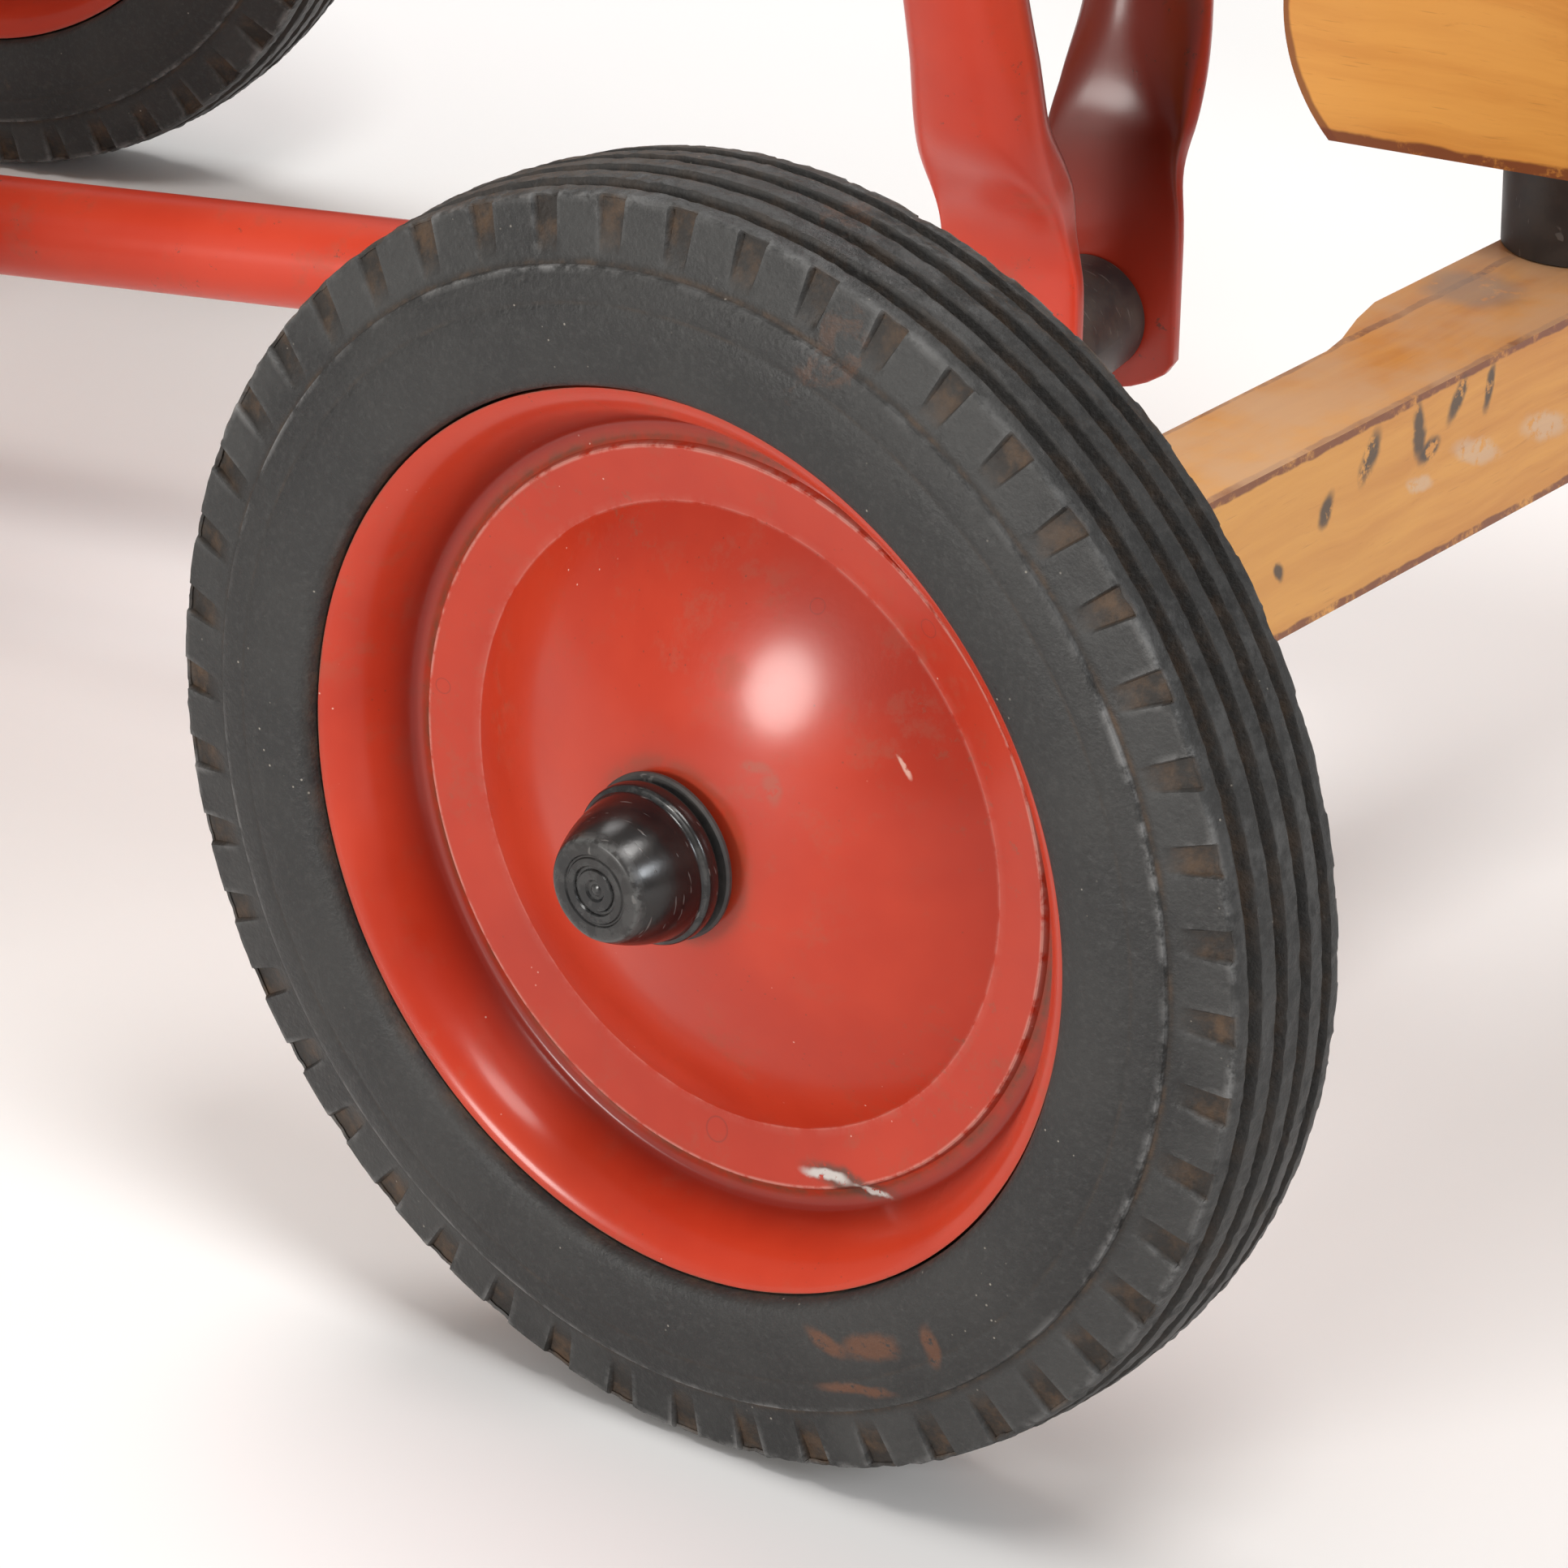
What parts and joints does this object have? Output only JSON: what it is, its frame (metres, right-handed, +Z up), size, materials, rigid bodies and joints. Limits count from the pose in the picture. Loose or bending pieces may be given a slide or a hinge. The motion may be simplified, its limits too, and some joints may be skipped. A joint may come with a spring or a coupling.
{
  "type": "lever-drive pedal car",
  "caption": "Child's wooden four-wheeled car with a foot-turned front axle and a T-handle lever that drives the cranked rear axle through a rod.",
  "frame": {"origin": "on the floor under the middle of the car's bounding box", "axes": "+X forward, +Y left, +Z up"},
  "size_m": [0.7315, 0.5284, 0.4985],
  "materials": {
    "tyre": "worn matt rubber with dust and brown dirt in the grooves",
    "disc_red": "glossy moulded red with fine scratches",
    "black_plastic": "glossy black moulded plastic",
    "hub_plastic": "matt black moulded plastic",
    "wood": "clear-lacquered softwood, dusty, with worn edges",
    "paint_red": "glossy red enamel on steel tube",
    "zinc_steel": "dull zinc-plated steel",
    "eye_black": "worn dark plastic",
    "rubber": "soft black rubber",
    "grip": "ribbed black rubber grip"
  },
  "bodies": {
    "chassis": {"pivot_block": "wood", "rail_right": "wood", "rail_left": "wood", "bearing_board_right": "wood", "bearing_board_left": "wood", "rear_block": "wood", "frame_bolts": "zinc_steel", "axle_bearing_right": "zinc_steel", "axle_bearing_left": "zinc_steel", "king_pin_bolt": "zinc_steel", "king_pin_washers": "zinc_steel", "king_pin_nut": "zinc_steel", "king_pin_spacer": "hub_plastic", "fulcrum_pin": "zinc_steel", "fulcrum_nut": "zinc_steel", "fulcrum_spacers": "zinc_steel", "seat_board": "wood", "backrest": "wood", "backrest_stays": "paint_red", "wood_screws": "zinc_steel"},
    "front_axle": {"steering_beam": "wood", "stub_axle_right": "zinc_steel", "stub_axle_left": "zinc_steel", "front_collars": "zinc_steel", "front_washers": "hub_plastic", "cap_front_right": "black_plastic", "cap_front_left": "black_plastic"},
    "crankshaft": {"crank_axle": "zinc_steel", "rear_collars": "zinc_steel", "rear_washers": "hub_plastic", "cap_rear_right": "black_plastic", "cap_rear_left": "black_plastic"},
    "lever": {"lever_arm_right": "paint_red", "lever_arm_left": "paint_red", "fork_bolt": "zinc_steel", "fork_nut": "zinc_steel", "handlebar": "paint_red", "grip_right": "grip", "grip_left": "grip"},
    "rod": {"rod_tube": "paint_red", "rod_front_eye": "eye_black", "rod_front_bush": "eye_black", "rod_rear_eye": "paint_red", "rod_rear_bush": "rubber"},
    "front_right_wheel": {"tyre_front_right": "tyre", "disc_outer_front_right": "disc_red", "disc_inner_front_right": "disc_red", "hub_bush_front_right": "hub_plastic"},
    "front_left_wheel": {"tyre_front_left": "tyre", "disc_outer_front_left": "disc_red", "disc_inner_front_left": "disc_red", "hub_bush_front_left": "hub_plastic"},
    "rear_right_wheel": {"tyre_rear_right": "tyre", "disc_outer_rear_right": "disc_red", "disc_inner_rear_right": "disc_red", "hub_bush_rear_right": "hub_plastic"},
    "rear_left_wheel": {"tyre_rear_left": "tyre", "disc_outer_rear_left": "disc_red", "disc_inner_rear_left": "disc_red", "hub_bush_rear_left": "hub_plastic"}
  },
  "joints": [
    {"name": "steer", "type": "hinge", "parent": "chassis", "child": "front_axle", "pos_m": [0.213, 0, 0.1], "axis": [0, 0, 1], "range_deg": [-16.55, 39.45]},
    {"name": "front_right_spin", "type": "hinge", "parent": "front_axle", "child": "front_right_wheel", "pos_m": [0.1729, -0.23124, 0.1], "axis": [0.1985, 0.9801, 0], "continuous": true},
    {"name": "front_left_spin", "type": "hinge", "parent": "front_axle", "child": "front_left_wheel", "pos_m": [0.26604, 0.22862, 0.1], "axis": [0.1985, 0.9801, 0], "continuous": true},
    {"name": "lever_swing", "type": "hinge", "parent": "chassis", "child": "lever", "pos_m": [0.1176, 0, 0.215], "axis": [0, 1, 0], "range_deg": [-10.9, 10.9]},
    {"name": "rod_pivot", "type": "hinge", "parent": "lever", "child": "rod", "pos_m": [0.1146, 0, 0.0833], "axis": [0, 1, 0], "range_deg": [-11, 11]},
    {"name": "crank_turn", "type": "hinge", "parent": "chassis", "child": "crankshaft", "pos_m": [-0.231, 0, 0.1], "axis": [0, 1, 0], "range_deg": [-37.5, 37.5], "deforming": ["rod_rear_bush"]},
    {"name": "rear_right_spin", "type": "hinge", "parent": "crankshaft", "child": "rear_right_wheel", "pos_m": [-0.231, -0.1943, 0.1], "axis": [0, 1, 0], "continuous": true},
    {"name": "rear_left_spin", "type": "hinge", "parent": "crankshaft", "child": "rear_left_wheel", "pos_m": [-0.231, 0.1943, 0.1], "axis": [0, 1, 0], "continuous": true}
  ],
  "couplings": [
    {"joint": "rod_pivot", "follows": "lever_swing", "ratio": -1},
    {"joint": "crank_turn", "follows": "lever_swing", "ratio": 3.4}
  ]
}
